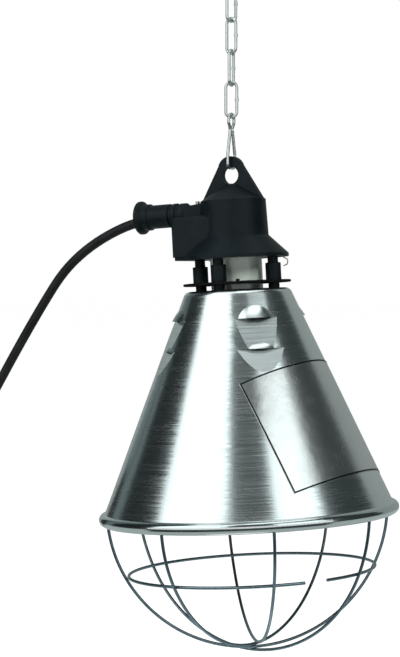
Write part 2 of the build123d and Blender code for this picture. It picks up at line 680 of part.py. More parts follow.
with BuildLine(Plane.XZ) as filament_path:
    FilletPolyline(*[(x, stem_z + z) for x, z in filament_points], radius=filament_bend)
save(tube(filament_path.line, filament_wire / 2), "filament", "#8f8b84", lamp_pose)

# Wire cage: four hoops and the open ring inside them
for number, (turn, (path, reach)) in enumerate(zip(hoop_turns, hoop_paths), 1):
    hoop_pose = lamp_pose * Location((0, 0, 0), (0, 0, turn))
    save(tube(path, cage_wire / 2), f"cage_hoop_{number}", "#8d9296", hoop_pose)
with BuildLine(Plane.XY.offset(ring_z)) as ring_path:
    CenterArc((0, 0), ring_radius, ring_gap[1], 360 - ring_gap[1] + ring_gap[0])
save(tube(ring_path.line, cage_wire / 2), "cage_ring", "#8d9296", lamp_pose)

# Flared cable sleeve on the hood, around the cord
over_cord = cord_z + cord_radius
with BuildPart() as sleeve:
    with BuildSketch(Plane.XZ):
        with BuildLine():
            Polyline(
                (hood_end + sleeve_neck_reach, over_cord + cord_play),
                (hood_end + sleeve_neck_reach, over_cord + sleeve_neck),
                *[(hood_end - out, over_cord + rise) for out, rise in sleeve_profile], close=True,
            )
        make_face()
    revolve(axis=Axis((0, 0, cord_z), (1, 0, 0)))
save(sleeve.part, "cable_sleeve", "#1b1e20", lamp_pose)

# Cord: a short end in the housing, the lead out of the sleeve, and the rest wound in a tied coil
with BuildPart() as cord_end:
    with Locations(Location((cord_start, 0, cord_z), (0, 90, 0))):
        Cylinder(cord_radius, cord_end_length, align=upward)
save(cord_end.part, "cord_end", "#1c1c1d", lamp_pose)

cord_points = [
    (cord_start, 0, cord_z), (cord_start - 37, 0, cord_z), (-108, 0, 200.3), (-139, 0, 181),
    (-161.5, 0, 154), (-190.5, 0, 115.5), (-229, 0, 60.8),
]
coil_along = Vector(-sin(view_turn), cos(view_turn), 0)
corners = [Vector(*point) for point in cord_points]
corners.append(corners[-1] + coil_along * coil_run)
bends = []
for before, here, after in zip(corners, corners[1:], corners[2:]):
    turn = radians((here - before).get_angle(after - here))
    bends.append(0.45 * min((here - before).length, (after - here).length) / tan(turn / 2))
with BuildLine() as lead_path:
    FilletPolyline(*corners, radius=bends)
lead = tube(lead_path.line, cord_radius)
lead_length = lead_path.wires()[0].length
print("cord bends", [round(bend, 1) for bend in bends], "lead length", round(lead_length, 1))
print("lead volume over section x length", lead.volume / (pi * cord_radius**2 * lead_length))
save(lead, "cord", "#1c1c1d", lamp_pose)

# The coil's turns cross its vertical middle line at these heights: each layer spirals in or out by half a
# pitch for each half turn, and the next layer starts half a pitch further on
coil_pitch = 2 * cord_radius + coil_gap
step = coil_pitch / 2
coil_inner = coil_radius - coil_passes * step


def spiral_in(first):
    """Crossing heights of a layer that winds inwards from its first crossing."""
    return [first] + [(-1) ** k * (coil_radius - k * step) for k in range(1, coil_passes)]


def spiral_out(passes):
    """Crossing heights of a layer that winds outwards from the coil's inner turn."""
    return [-coil_inner] + [(-1) ** (k + 1) * (coil_inner + (k + 1) * step) for k in range(1, passes)]


layers = [spiral_in(coil_radius), spiral_out(coil_passes)]
layers += [spiral_in(coil_radius + step), spiral_out(coil_passes - 1)]
with BuildLine() as coil_path:
    Line((-2 * cord_radius, coil_radius, 0), (0, coil_radius, 0))
    for depth, heights in enumerate(layers):
        level = -coil_pitch * depth
        for start, end in zip(heights, heights[1:]):
            ThreePointArc((0, start, level), ((start - end) / 2, (start + end) / 2, level), (0, end, level))
        if depth + 1 < len(layers):
            start, end = heights[-1], layers[depth + 1][0]
            side = 1 if start > end else -1
            reach = hypot((start - end) / 2, step)
            half_way = (side * reach, (start + end) / 2, level - step)
            rise = TangentArc((0, start, level), half_way, tangent=(side, 0, 0))
            TangentArc(half_way, (0, end, level - coil_pitch), tangent=rise % 1)
    last = layers[-1][-1]
    tail_x, tail_level = last + step / 2, -coil_pitch * (len(layers) - 1)
    tail_y = last - tail_x
    TangentArc((0, last, tail_level), (tail_x, tail_y, tail_level), tangent=(1, 0, 0))
    Line((tail_x, tail_y, tail_level), (tail_x, tail_y - tail_drop, tail_level))
coil_wire = coil_path.wires()[0]
coil_length = coil_wire.length
spots = [coil_wire @ (k / 1400) for k in range(1401)]
apart = int(12 * 1400 / coil_length) + 1
least = min((p - q).length for i, p in enumerate(spots) for q in spots[i + apart:])
coil = tube(coil_path.line, cord_radius)
print("coil length", round(coil_length, 1), "least gap between turns", round(least - 2 * cord_radius, 2))
print("coil volume over section x length", coil.volume / (pi * cord_radius**2 * coil_length))
print("whole cord", round(coil_length + lead_length + cord_end_length, 0))
coil_origin = corners[-1] + coil_along * (2 * cord_radius) - Vector(0, 0, coil_radius)
coil_plane = Plane(origin=coil_origin, x_dir=coil_along, z_dir=(cos(view_turn), sin(view_turn), 0))
coil_pose = lamp_pose * coil_plane.location
save(coil, "cord_coil", "#1c1c1d", coil_pose)

# Strap tied round the coil's upper side
bundle_top, bundle_low = coil_radius + step, coil_radius - (coil_passes - 1) * step
tie_rise = bundle_top - bundle_low + 2 * (cord_radius + tie_play)
tie_width = coil_pitch * (len(layers) - 1) + 2 * (cord_radius + tie_play / 2)
with BuildPart() as tie:
    with BuildSketch(Plane.YZ):
        with Locations(((bundle_top + bundle_low) / 2, tail_level / 2)):
            RectangleRounded(tie_rise + 2 * tie_thick, tie_width + 2 * tie_thick, tie_corner)
            RectangleRounded(tie_rise, tie_width, tie_corner - tie_thick, mode=Mode.SUBTRACT)
    extrude(amount=tie_half, both=True)
save(tie.part, "coil_tie", "#22252a", coil_pose)

# Plug at the cord's end, its pins downwards
plug_pose = coil_pose * Location((tail_x, tail_y - tail_drop, tail_level))
with BuildPart() as boot:
    with BuildSketch(Plane.XY):
        with BuildLine():
            Polyline(
                (0, 0), (cord_radius + boot_thin, 0), (cord_radius + boot_thick, -boot_length),
                (0, -boot_length), close=True,
            )
        make_face()
    revolve(axis=Axis.Y)
save(boot.part, "plug_boot", "#1a1a1b", plug_pose)
with BuildPart() as plug:
    with BuildSketch(Plane.XZ.offset(boot_length)):
        SlotOverall(plug_width, plug_thick)
    extrude(amount=plug_length)
    chamfer(plug.edges().group_by(Axis.Y)[-1], plug_bevel)
save(plug.part, "plug_body", "#1a1a1b", plug_pose)
with BuildPart() as pins:
    with BuildSketch(Plane.XZ.offset(boot_length + plug_length)):
        with Locations((-pin_pitch / 2, 0), (pin_pitch / 2, 0)):
            Circle(pin_radius)
    extrude(amount=pin_length)
    fillet(pins.edges().group_by(Axis.Y)[0], pin_round)
save(pins.part, "plug_pins", "#b8b6ae", plug_pose)
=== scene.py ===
"""Looks of the hanging heat lamp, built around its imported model.

Sizes are in millimetres in the lamp's own frame, whose origin is the centre of the cone's lower end, and
are turned into metres in the shared frame by LAMP. The shared frame's origin is the S-hook's hang point.
"""

import json
from math import atan2, cos, hypot, pi, radians, sin, sqrt

import bpy
from mathutils import Matrix, Vector


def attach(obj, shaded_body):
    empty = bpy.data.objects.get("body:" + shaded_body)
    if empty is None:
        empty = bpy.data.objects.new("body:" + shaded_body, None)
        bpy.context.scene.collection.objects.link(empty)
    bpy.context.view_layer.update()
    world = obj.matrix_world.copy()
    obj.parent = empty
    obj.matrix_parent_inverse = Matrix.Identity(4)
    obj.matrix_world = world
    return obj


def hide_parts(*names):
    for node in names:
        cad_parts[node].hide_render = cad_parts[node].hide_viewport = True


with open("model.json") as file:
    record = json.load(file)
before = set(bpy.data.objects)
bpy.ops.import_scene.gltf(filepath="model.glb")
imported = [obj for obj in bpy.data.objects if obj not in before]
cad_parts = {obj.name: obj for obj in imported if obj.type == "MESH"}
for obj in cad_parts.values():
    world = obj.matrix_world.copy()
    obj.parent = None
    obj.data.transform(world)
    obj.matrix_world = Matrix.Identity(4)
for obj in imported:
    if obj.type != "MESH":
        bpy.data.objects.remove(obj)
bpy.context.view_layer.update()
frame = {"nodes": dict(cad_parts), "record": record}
nodes = frame["nodes"]
scene = bpy.context.scene
scene.view_settings.view_transform = "Standard"

MM = 0.001
PIVOT = -157.85 * MM  # height of the shackle's wire in the lamp's eye
PIVOT_Z = 242.25  # the same point in the lamp's own frame
TILT = radians(3.28)  # the lamp's lean towards its cord
LAMP = (
    Matrix.Translation((0, 0, PIVOT))
    @ Matrix.Rotation(-TILT, 4, "Y")
    @ Matrix.Scale(MM, 4)
    @ Matrix.Translation((0, 0, -PIVOT_Z))
)


# Camera, as in the picture: a long lens a little below the housing, level with the shade's upper half
CAMERA_PLACE = Vector((0.5913, -1.2087, -0.22905))
CAMERA_TURN = radians(27.009)
CAMERA_DIP = radians(1.797)
PICTURE_HEIGHT_PX = 657
FOCAL_PX = 1900
SENSOR = 36.0

camera_data = bpy.data.cameras.new("camera")
camera_data.sensor_fit = "VERTICAL"
camera_data.sensor_height = SENSOR
camera_data.lens = FOCAL_PX / PICTURE_HEIGHT_PX * SENSOR
camera_data.clip_end = 50
camera = bpy.data.objects.new("camera", camera_data)
scene.collection.objects.link(camera)
camera.location = CAMERA_PLACE
camera.rotation_euler = (pi / 2 - CAMERA_DIP, 0, CAMERA_TURN)
scene.camera = camera


# Cord: out of the flared sleeve, down in its own curve, then put away in a tied coil past the picture's edge
CORD_RADIUS = 3.5
CORD_POINTS = [
    (-33.5, 0, 212), (-70.5, 0, 212), (-108, 0, 200.3), (-139, 0, 181), (-161.5, 0, 154),
    (-190.5, 0, 115.5), (-229, 0, 60.8),
]
COIL_TURN = radians(27)
COIL_ALONG = Vector((-sin(COIL_TURN), cos(COIL_TURN), 0))
COIL_RUN = 59.0
COIL_LEAD = 7.0  # straight cord before the first turn
COIL_PITCH = 7.6
COIL_LAYERS = (
    (46, -42.2, 38.4, -34.6, 30.8), (-27, 34.6, -38.4, 42.2, -46),
    (49.8, -42.2, 38.4, -34.6, 30.8), (-27, 34.6, -38.4, 42.2),
)
COIL_TAIL_X, COIL_TAIL_DROP = 44.1, 32.0
TAIL_MIDDLE = 0.45  # share of the drop at its middle point
HALF_TURN_POINTS = 8
CUT_IN = cos(pi / 2 / HALF_TURN_POINTS)  # a spline runs this share inside its points on a circle

coil_start = Vector(CORD_POINTS[-1]) + COIL_ALONG * COIL_RUN
coil_origin = coil_start + COIL_ALONG * COIL_LEAD - Vector((0, 0, COIL_LAYERS[0][0]))
COIL = LAMP @ Matrix.Translation(coil_origin) @ Matrix((
    (COIL_ALONG.x, 0, cos(COIL_TURN), 0), (COIL_ALONG.y, 0, sin(COIL_TURN), 0), (0, 1, 0, 0), (0, 0, 0, 1),
))


def half_turn(start, end, level, climb):
    """Spline points of half a turn between two heights on the coil's middle line, climbing evenly."""
    side = 1 if start > end else -1
    radius = hypot((start - end) / 2, climb / 2)
    for step in range(HALF_TURN_POINTS):
        angle = pi * (step + 0.5) / HALF_TURN_POINTS
        yield Vector((
            side * radius / CUT_IN * sin(angle),
            (start + end) / 2 + (start - end) / 2 / CUT_IN * cos(angle),
            level - climb / 2 * (1 - cos(angle)),
        ))


coil_points = []
for depth, heights in enumerate(COIL_LAYERS):
    level = -COIL_PITCH * depth
    for start, end in zip(heights, heights[1:]):
        coil_points += half_turn(start, end, level, 0)
    if depth + 1 < len(COIL_LAYERS):
        coil_points += half_turn(heights[-1], COIL_LAYERS[depth + 1][0], level, COIL_PITCH)
last_height = COIL_LAYERS[-1][-1]
tail_level = -COIL_PITCH * (len(COIL_LAYERS) - 1)
tail_top = last_height - COIL_TAIL_X
last_turn = list(half_turn(last_height, last_height - 2 * COIL_TAIL_X, tail_level, 0))
coil_points += last_turn[: HALF_TURN_POINTS // 2]
coil_points += [
    Vector((COIL_TAIL_X, tail_top - COIL_TAIL_DROP * TAIL_MIDDLE, tail_level)),
    Vector((COIL_TAIL_X, tail_top - COIL_TAIL_DROP, tail_level)),
]

# Strap round the coil's upper side: a rubber band, wrapped once and lapped over its own start
STRAP_HALF, STRAP_THICK = 6.0, 1.2
STRAP_MIDDLE = (40.3, -11.4)  # height and depth in the coil's frame
STRAP_ROOM = (13.9, 15.35)  # half sizes inside
STRAP_CORNER = 4.0
STRAP_LAP, STRAP_CLIMB = 17.0, 7.0
STRAP_GAP = 0.05
STRAP_STEP = 0.8

strap_tall, strap_deep = (half - STRAP_CORNER for half in STRAP_ROOM)
strap_bend = pi / 2 * STRAP_CORNER
strap_round = 4 * (strap_tall + strap_deep + strap_bend)


def strap_point(run):
    """Place and outward direction on the strap's inner face, at a distance along it from where it starts."""
    run = (run + strap_tall) % strap_round
    sides = ((1, 1, strap_tall), (1, -1, strap_deep), (-1, -1, strap_tall), (-1, 1, strap_deep))
    for turns, (up, back, half_flat) in enumerate(sides):
        angle = pi / 2 * turns
        centre = Vector(STRAP_MIDDLE) + Vector((up * strap_tall, back * strap_deep))
        short_of_bend = max(0.0, 2 * half_flat - run)
        swung = angle + max(0.0, run - 2 * half_flat) / STRAP_CORNER
        run -= 2 * half_flat + strap_bend
        if run <= 0:
            break
    out = Vector((sin(swung), cos(swung)))
    return centre + out * STRAP_CORNER - Vector((cos(angle), -sin(angle))) * short_of_bend, out


strap_corners, strap_faces = [], []
stations = round((strap_round + STRAP_LAP) / STRAP_STEP)
for station in range(stations + 1):
    run = (strap_round + STRAP_LAP) * station / stations
    climbed = min(1.0, max(0.0, (run - strap_round + STRAP_CLIMB) / STRAP_CLIMB))
    stand_off = (STRAP_THICK + STRAP_GAP) * climbed * climbed * (3 - 2 * climbed)
    inner, out = strap_point(run)
    for across, rise in ((-1, 0), (1, 0), (1, 1), (-1, 1)):
        place = inner + out * (stand_off + STRAP_THICK * rise)
        strap_corners.append(COIL @ Vector((STRAP_HALF * across, place.x, place.y)))
for station in range(stations):
    here = 4 * station
    strap_faces += [(here + k, here + (k + 1) % 4, here + 4 + (k + 1) % 4, here + 4 + k) for k in range(4)]
strap_faces += [(3, 2, 1, 0), tuple(4 * stations + k for k in range(4))]
strap_mesh = bpy.data.meshes.new("coil_strap")
strap_mesh.from_pydata(strap_corners, [], strap_faces)
strap = bpy.data.objects.new("coil_strap", strap_mesh)
scene.collection.objects.link(strap)
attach(strap, "lamp")
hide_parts("coil_tie")
for polygon in strap_mesh.polygons:
    polygon.use_smooth = True

cord_route = [LAMP @ Vector(point) for point in CORD_POINTS] + [LAMP @ coil_start]
cord_route += [COIL @ point for point in coil_points]
cord_curve = bpy.data.curves.new("supply_cord", "CURVE")
cord_curve.dimensions = "3D"
cord_curve.bevel_depth = 1.0  # times each point's radius
cord_curve.bevel_resolution = 5
cord_curve.resolution_u = 6
cord_curve.use_fill_caps = True
spline = cord_curve.splines.new("NURBS")
spline.points.add(len(cord_route) - 1)
for point, place in zip(spline.points, cord_route):
    point.co = (*place, 1)
    point.radius = CORD_RADIUS * MM
spline.order_u = 3
spline.use_endpoint_u = True
cord = bpy.data.objects.new("supply_cord", cord_curve)
scene.collection.objects.link(cord)
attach(cord, "lamp")
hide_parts("cord", "cord_coil")

# Label: a plain line printed along the blank foil's edge
CONE_APEX_Z = 243.53
CONE_LEAN = 0.38922  # sine of the cone's half angle
CONE_UPRIGHT = sqrt(1 - CONE_LEAN**2)
LABEL_TURN = radians(-4.6)
LABEL_TOP_Z, LABEL_WIDTH, LABEL_HEIGHT = 105.1, 134.0, 85.0
LABEL_FACE = 0.3  # foil's outer face over the cone
LINE_INSET, LINE_WIDTH = 0.4, 1.1
LINE_SUNK, LINE_RISE = 0.1, 0.12  # ink drawn thicker than it is, to clear the foil's facets
LINE_STEPS = 30  # on each side


def label_point(along, across, lift):
    """Place on the label from its distance down from its upper edge and across from its middle."""
    from_apex = (CONE_APEX_Z - LABEL_TOP_Z) / CONE_UPRIGHT + along
    reach = hypot(from_apex, across)
    turn = LABEL_TURN + atan2(across, from_apex) / CONE_LEAN
    radius = reach * CONE_LEAN + lift * CONE_UPRIGHT
    height = CONE_APEX_Z - reach * CONE_UPRIGHT + lift * CONE_LEAN
    return LAMP @ Vector((radius * cos(turn), radius * sin(turn), height))


def label_outline(inset, lift):
    """Places round the label at a distance inside its edge."""
    low, high = inset, LABEL_HEIGHT - inset
    left, right = inset - LABEL_WIDTH / 2, LABEL_WIDTH / 2 - inset
    turns = [(low, left), (low, right), (high, right), (high, left), (low, left)]
    for start, end in zip(turns, turns[1:]):
        for step in range(LINE_STEPS):
            share = step / LINE_STEPS
            along, across = (near + (far - near) * share for near, far in zip(start, end))
            yield label_point(along, across, lift)


inner_inset, line_low, line_high = LINE_INSET + LINE_WIDTH, LABEL_FACE - LINE_SUNK, LABEL_FACE + LINE_RISE
line_section = (
    (LINE_INSET, line_low), (LINE_INSET, line_high), (inner_inset, line_high), (inner_inset, line_low),
)
line_places = [place for corner in line_section for place in label_outline(*corner)]
line_count = 4 * LINE_STEPS
line_faces = []
for corner in range(len(line_section)):
    near, far = corner * line_count, (corner + 1) % len(line_section) * line_count
    for step in range(line_count):
        after = (step + 1) % line_count
        line_faces.append((near + step, far + step, far + after, near + after))
line_mesh = bpy.data.meshes.new("label_line")
line_mesh.from_pydata(line_places, [], line_faces)
label_line = bpy.data.objects.new("label_line", line_mesh)
scene.collection.objects.link(label_line)
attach(label_line, "lamp")


# Materials
def colour(hex_value):
    """Linear colour of an sRGB hex value."""
    parts = [int(hex_value[i : i + 2], 16) / 255 for i in (1, 3, 5)]
    return [c / 12.92 if c <= 0.04045 else ((c + 0.055) / 1.055) ** 2.4 for c in parts] + [1.0]


def add(tree, kind, sockets=None, **settings):
    """Adds one node with its settings; each socket takes a value or a link from another node's output."""
    node = tree.nodes.new(kind)
    for name, value in settings.items():
        setattr(node, name, value)
    for key, value in (sockets or {}).items():
        if isinstance(value, bpy.types.NodeSocket):
            tree.links.new(value, node.inputs[key])
        else:
            node.inputs[key].default_value = value
    return node


def new_material(name):
    """An empty node material with its output."""
    material = bpy.data.materials.new(name)
    material.use_nodes = True
    tree = material.node_tree
    tree.nodes.clear()
    return material, tree, add(tree, "ShaderNodeOutputMaterial")


def per_mm(size):
    """Texture scale that gives features of about this many millimetres."""
    return 1 / (size * MM)


RIM_TOP = 3.1  # height where the cone meets the rolled rim
RIM_FADE = 0.8  # the finish changes over this height
LAMP_TURN = Matrix.Rotation(TILT, 3, "Y")
LAMP_SHIFT = Vector((0, 0, PIVOT_Z * MM)) - LAMP_TURN @ Vector((0, 0, PIVOT))


def spun_aluminium():
    """Spun, bright-rolled aluminium: bands of light and dark run down the cone, frayed by lathe rings."""
    material, tree, output = new_material("spun_aluminium")
    place = add(tree, "ShaderNodeTexCoord")
    upright = add(tree, "ShaderNodeMapping", {
        "Vector": place.outputs["Object"], "Rotation": (0, TILT, 0), "Location": LAMP_SHIFT,
    })
    # rings lie about 0.3 mm apart, drawn at 0.75 mm to show; each tool mark runs some 60 mm round the cone
    marks = add(tree, "ShaderNodeVectorMath", {
        0: upright.outputs["Vector"], 1: (per_mm(60), per_mm(60), per_mm(0.75)),
    }, operation="MULTIPLY")
    rings = add(tree, "ShaderNodeTexNoise", {
        "Vector": marks.outputs["Vector"], "Scale": 1.0, "Detail": 2.0, "Roughness": 0.6,
    })
    # the chuck's slower waves, about 6 mm from crest to crest
    waves = add(tree, "ShaderNodeVectorMath", {
        0: upright.outputs["Vector"], 1: (per_mm(90), per_mm(90), per_mm(6)),
    }, operation="MULTIPLY")
    swell = add(tree, "ShaderNodeTexNoise", {"Vector": waves.outputs["Vector"], "Scale": 1.0, "Detail": 1.0})
    handled = add(tree, "ShaderNodeTexNoise", {
        "Vector": upright.outputs["Vector"], "Scale": per_mm(45), "Detail": 3.0,
    })
    rough = add(tree, "ShaderNodeMapRange", {
        "Value": rings.outputs["Fac"], "From Min": 0.3, "From Max": 0.7, "To Min": 0.19, "To Max": 0.28,
    })
    bright = add(tree, "ShaderNodeMix", {
        "Factor": handled.outputs["Fac"], "A": colour("#dfe5e5"), "B": colour("#eef2f2"),
    }, data_type="RGBA")
    # the roller that curled the rim left it smoother than the cone
    axes = add(tree, "ShaderNodeSeparateXYZ", {"Vector": upright.outputs["Vector"]})
    rolled = add(tree, "ShaderNodeMapRange", {
        "Value": axes.outputs["Z"], "From Min": RIM_TOP * MM, "From Max": (RIM_TOP - RIM_FADE) * MM,
    })
    shade = add(tree, "ShaderNodeMix", {
        "Factor": rolled.outputs["Result"], "A": bright.outputs[2], "B": colour("#d3dada"),
    }, data_type="RGBA")
    smoother = add(tree, "ShaderNodeMath", {
        0: rolled.outputs["Result"], 1: -0.06, 2: rough.outputs["Result"],
    }, operation="MULTIPLY_ADD")
    both = add(tree, "ShaderNodeMath", {0: rings.outputs["Fac"], 1: swell.outputs["Fac"]}, operation="ADD")
    bump = add(tree, "ShaderNodeBump", {
        "Height": both.outputs["Value"], "Strength": 0.07, "Distance": 0.3 * MM,
    })
    # each mark leans a little to one side, so that a band's edge is frayed
    around = add(tree, "ShaderNodeTangent", direction_type="RADIAL", axis="Z")
    lean = add(tree, "ShaderNodeMapRange", {
        "Value": rings.outputs["Fac"], "From Min": 0.3, "From Max": 0.7, "To Min": -0.015, "To Max": 0.015,
    })
    sideways = add(tree, "ShaderNodeVectorMath", {
        0: around.outputs["Tangent"], "Scale": lean.outputs["Result"],
    }, operation="SCALE")
    leaning = add(tree, "ShaderNodeVectorMath", {0: bump.outputs["Normal"], 1: sideways.outputs["Vector"]})
    normal = add(tree, "ShaderNodeVectorMath", {0: leaning.outputs["Vector"]}, operation="NORMALIZE")
    metal = add(tree, "ShaderNodeBsdfPrincipled", {
        "Base Color": shade.outputs[2], "Metallic": 1.0, "Roughness": smoother.outputs["Value"],
        "Anisotropic": 0.45, "Anisotropic Rotation": 0.25,
        "Normal": normal.outputs["Vector"], "Tangent": around.outputs["Tangent"],
    })
    tree.links.new(metal.outputs["BSDF"], output.inputs["Surface"])
    return material


def plated_wire(name, light, dark, roughness):
    """Drawn steel wire with a zinc coat: blue-grey, a little cloudy, with long highlights along the wire."""
    material, tree, output = new_material(name)
    place = add(tree, "ShaderNodeTexCoord")
    clouds = add(tree, "ShaderNodeTexNoise", {
        "Vector": place.outputs["Object"], "Scale": per_mm(6), "Detail": 3.0, "Roughness": 0.6,
    })
    shade = add(tree, "ShaderNodeMix", {
        "Factor": clouds.outputs["Fac"], "A": colour(dark), "B": colour(light),
    }, data_type="RGBA")
    rough = add(tree, "ShaderNodeMapRange", {
        "Value": clouds.outputs["Fac"], "To Min": roughness - 0.06, "To Max": roughness + 0.06,
    })
    metal = add(tree, "ShaderNodeBsdfPrincipled", {
        "Base Color": shade.outputs[2], "Metallic": 1.0, "Roughness": rough.outputs["Result"],
    })
    tree.links.new(metal.outputs["BSDF"], output.inputs["Surface"])
    return material


def moulded(name, base, worn, roughness, grain_mm, grain_strength, gloss=0.14):
    """Moulded plastic or rubber: dark, with a fine even grain and slightly paler rubbed patches."""
    material, tree, output = new_material(name)
    place = add(tree, "ShaderNodeTexCoord")
    grain = add(tree, "ShaderNodeTexNoise", {
        "Vector": place.outputs["Object"], "Scale": per_mm(grain_mm), "Detail": 3.0,
    })
    rubbed = add(tree, "ShaderNodeTexNoise", {
        "Vector": place.outputs["Object"], "Scale": per_mm(14), "Detail": 4.0, "Roughness": 0.6,
    })
    patches = add(tree, "ShaderNodeMapRange", {
        "Value": rubbed.outputs["Fac"], "From Min": 0.45, "From Max": 0.75,
    })
    shade = add(tree, "ShaderNodeMix", {
        "Factor": patches.outputs["Result"], "A": colour(base), "B": colour(worn),
    }, data_type="RGBA")
    rough = add(tree, "ShaderNodeMapRange", {
        "Value": rubbed.outputs["Fac"], "From Min": 0.3, "From Max": 0.7,
        "To Min": roughness - 0.05, "To Max": roughness + 0.07,
    })
    bump = add(tree, "ShaderNodeBump", {
        "Height": grain.outputs["Fac"], "Strength": grain_strength, "Distance": 0.2 * MM,
    })
    plastic = add(tree, "ShaderNodeBsdfPrincipled", {
        "Base Color": shade.outputs[2], "Roughness": rough.outputs["Result"], "IOR": 1.5,
        "Specular IOR Level": gloss, "Normal": bump.outputs["Normal"],
    })
    tree.links.new(plastic.outputs["BSDF"], output.inputs["Surface"])
    return material


def glazed_porcelain():
    """Glazed electrical porcelain: cool off-white body under a clear gloss, with faint specks; its colours
    are painted darker than the real glaze, as painted shade from the housing above.
    """
    material, tree, output = new_material("glazed_porcelain")
    place = add(tree, "ShaderNodeTexCoord")
    specks = add(tree, "ShaderNodeTexNoise", {
        "Vector": place.outputs["Object"], "Scale": per_mm(1.5), "Detail": 2.0,
    })
    clouds = add(tree, "ShaderNodeTexNoise", {
        "Vector": place.outputs["Object"], "Scale": per_mm(18), "Detail": 2.0,
    })
    dots = add(tree, "ShaderNodeMapRange", {
        "Value": specks.outputs["Fac"], "From Min": 0.68, "From Max": 0.8,
    })
    # painted shade: the body colours are set darker than real porcelain, for the shade under the housing's
    # skirt
    shaded_body = add(tree, "ShaderNodeMix", {
        "Factor": clouds.outputs["Fac"], "A": colour("#b6c4ba"), "B": colour("#c8d4ca"),
    }, data_type="RGBA")
    shade = add(tree, "ShaderNodeMix", {
        "Factor": dots.outputs["Result"], "A": shaded_body.outputs[2], "B": colour("#b3b0a4"),
    }, data_type="RGBA")
    glaze = add(tree, "ShaderNodeBsdfPrincipled", {
        "Base Color": shade.outputs[2], "Roughness": 0.22, "IOR": 1.5,
        "Coat Weight": 0.5, "Coat Roughness": 0.06,
    })
    tree.links.new(glaze.outputs["BSDF"], output.inputs["Surface"])
    return material


def foil():
    """Satin aluminium foil: paler and duller than the spun shade, with a faint ripple from the adhesive."""
    material, tree, output = new_material("satin_foil")
    place = add(tree, "ShaderNodeTexCoord")
    ripple = add(tree, "ShaderNodeTexNoise", {
        "Vector": place.outputs["Object"], "Scale": per_mm(9), "Detail": 2.0,
    })
    rough = add(tree, "ShaderNodeMapRange", {"Value": ripple.outputs["Fac"], "To Min": 0.22, "To Max": 0.3})
    bump = add(tree, "ShaderNodeBump", {
        "Height": ripple.outputs["Fac"], "Strength": 0.06, "Distance": 2 * MM,
    })
    metal = add(tree, "ShaderNodeBsdfPrincipled", {
        "Base Color": colour("#e7e8e7"), "Metallic": 1.0, "Roughness": rough.outputs["Result"],
        "Normal": bump.outputs["Normal"],
    })
    tree.links.new(metal.outputs["BSDF"], output.inputs["Surface"])
    return material


def plain_metal(name, light, dark, roughness):
    """Turned or drawn small metal parts: even colour with fine scratches in the sheen."""
    material, tree, output = new_material(name)
    place = add(tree, "ShaderNodeTexCoord")
    scratch = add(tree, "ShaderNodeTexNoise", {
        "Vector": place.outputs["Object"], "Scale": per_mm(0.8), "Detail": 3.0,
    })
    shade = add(tree, "ShaderNodeMix", {
        "Factor": scratch.outputs["Fac"], "A": colour(dark), "B": colour(light),
    }, data_type="RGBA")
    rough = add(tree, "ShaderNodeMapRange", {
        "Value": scratch.outputs["Fac"], "To Min": roughness - 0.06, "To Max": roughness + 0.08,
    })
    metal = add(tree, "ShaderNodeBsdfPrincipled", {
        "Base Color": shade.outputs[2], "Metallic": 1.0, "Roughness": rough.outputs["Result"],
    })
    tree.links.new(metal.outputs["BSDF"], output.inputs["Surface"])
    return material


def blown_glass(name, tint, transmission, roughness):
    """Blown bulb glass with a slight unevenness in its thickness."""
    material, tree, output = new_material(name)
    place = add(tree, "ShaderNodeTexCoord")
    uneven = add(tree, "ShaderNodeTexNoise", {
        "Vector": place.outputs["Object"], "Scale": per_mm(25), "Detail": 1.0,
    })
    bump = add(tree, "ShaderNodeBump", {
        "Height": uneven.outputs["Fac"], "Strength": 0.05, "Distance": 1 * MM,
    })
    glass = add(tree, "ShaderNodeBsdfPrincipled", {
        "Base Color": colour(tint), "Roughness": roughness, "IOR": 1.5, "Transmission Weight": transmission,
        "Normal": bump.outputs["Normal"],
    })
    tree.links.new(glass.outputs["BSDF"], output.inputs["Surface"])
    return material


black_moulding = moulded("moulded_phenolic", "#0b1215", "#121a1d", 0.42, 0.5, 0.12)
galvanised = plated_wire("galvanised_wire", "#e2e6e4", "#c3c9c6", 0.28)
zinc_wire = plated_wire("zinc_plated_wire", "#8fa5ad", "#6d828b", 0.3)
rubber = moulded("extruded_rubber", "#131415", "#1d1e20", 0.46, 0.6, 0.1, gloss=0.22)
nickel = plain_metal("nickel_plate", "#c9c7c0", "#a9a7a1", 0.3)
brass = plain_metal("drawn_brass", "#c7a765", "#a8873f", 0.32)
finishes = {
    "galvanised_steel_wire": galvanised,
    "zinc_plated_wire": zinc_wire,
    "black_plastic": black_moulding,
    "plated_steel": nickel,
    "fibre_board": moulded("pressed_fibre", "#0e0f0f", "#171818", 0.75, 0.9, 0.4, gloss=0.04),
    "spun_aluminium": spun_aluminium(),
    "foil": foil(),
    "porcelain": glazed_porcelain(),
    "brass": brass,
    "red_glass": blown_glass("ruby_glass", "#a01712", 0.5, 0.12),
    "clear_glass": blown_glass("clear_glass", "#e6efee", 0.9, 0.05),
    "black_glass": moulded("fused_black_glass", "#101113", "#17181b", 0.15, 2.0, 0.02, gloss=0.5),
    "tungsten": plain_metal("drawn_tungsten", "#7d7a76", "#5d5a57", 0.45),
    "brown_insulation": moulded("brown_pvc", "#4a2c18", "#5a3823", 0.45, 0.8, 0.05),
    "blue_insulation": moulded("blue_pvc", "#1f4a8c", "#2b5aa0", 0.45, 0.8, 0.05),
    "black_rubber": rubber,
}
for row in frame["record"]["subparts"]:
    mesh = nodes[row["node"]].data
    mesh.materials.clear()
    mesh.materials.append(finishes[row["material_slot"]])
cord_curve.materials.append(rubber)
strap_mesh.materials.append(rubber)
line_mesh.materials.append(moulded("printing_ink", "#0a0c0d", "#14181a", 0.4, 0.4, 0.05))

